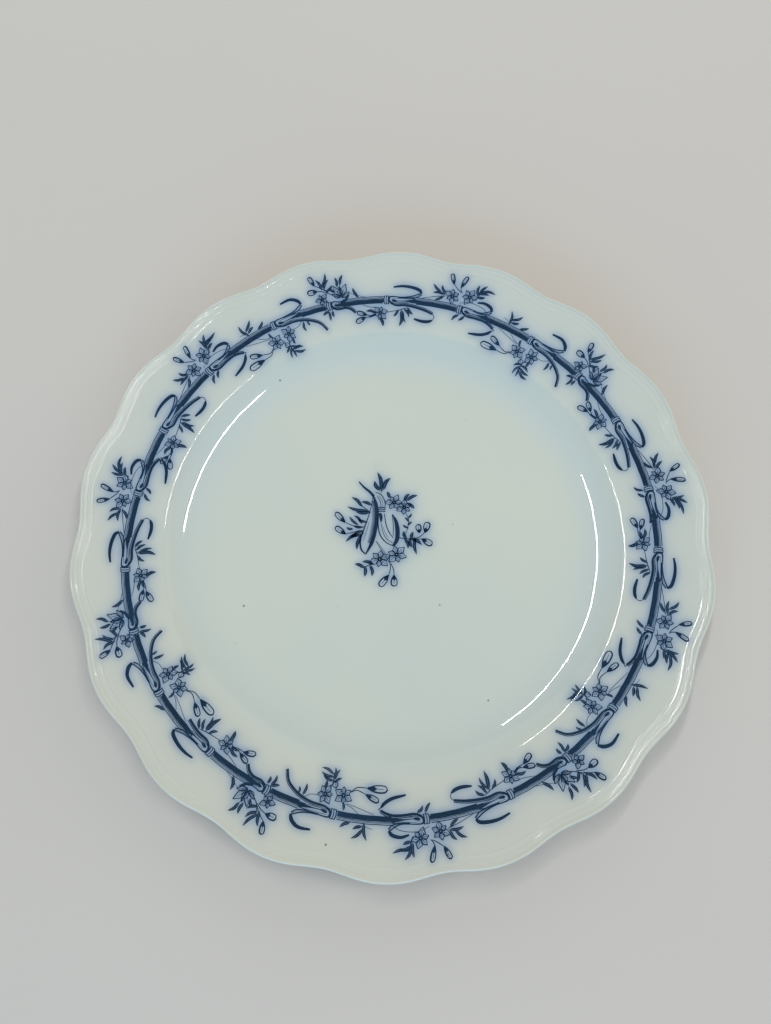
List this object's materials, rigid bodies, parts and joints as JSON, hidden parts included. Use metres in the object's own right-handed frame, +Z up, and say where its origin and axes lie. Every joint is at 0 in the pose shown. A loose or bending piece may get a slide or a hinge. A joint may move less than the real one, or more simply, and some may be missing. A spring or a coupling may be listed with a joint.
{
  "type": "dinner plate",
  "caption": "Scalloped dinner plate with a moulded edge, a flat well on a low foot ring, and a blue printed cane and flower border.",
  "frame": {"origin": "middle of the foot ring's bearing face, on the surface that the plate rests on", "axes": "+Z up out of the well, +Y towards the top of the centre print, +X to its right"},
  "size_m": [0.2602, 0.2618, 0.0224],
  "materials": {
    "glazed_body": "gloss",
    "blue_print": "gloss"
  },
  "bodies": {
    "root": {"plate_body": "glazed_body", "border_print_1": "blue_print", "border_print_2": "blue_print", "border_print_3": "blue_print", "centre_print": "blue_print"}
  },
  "joints": []
}
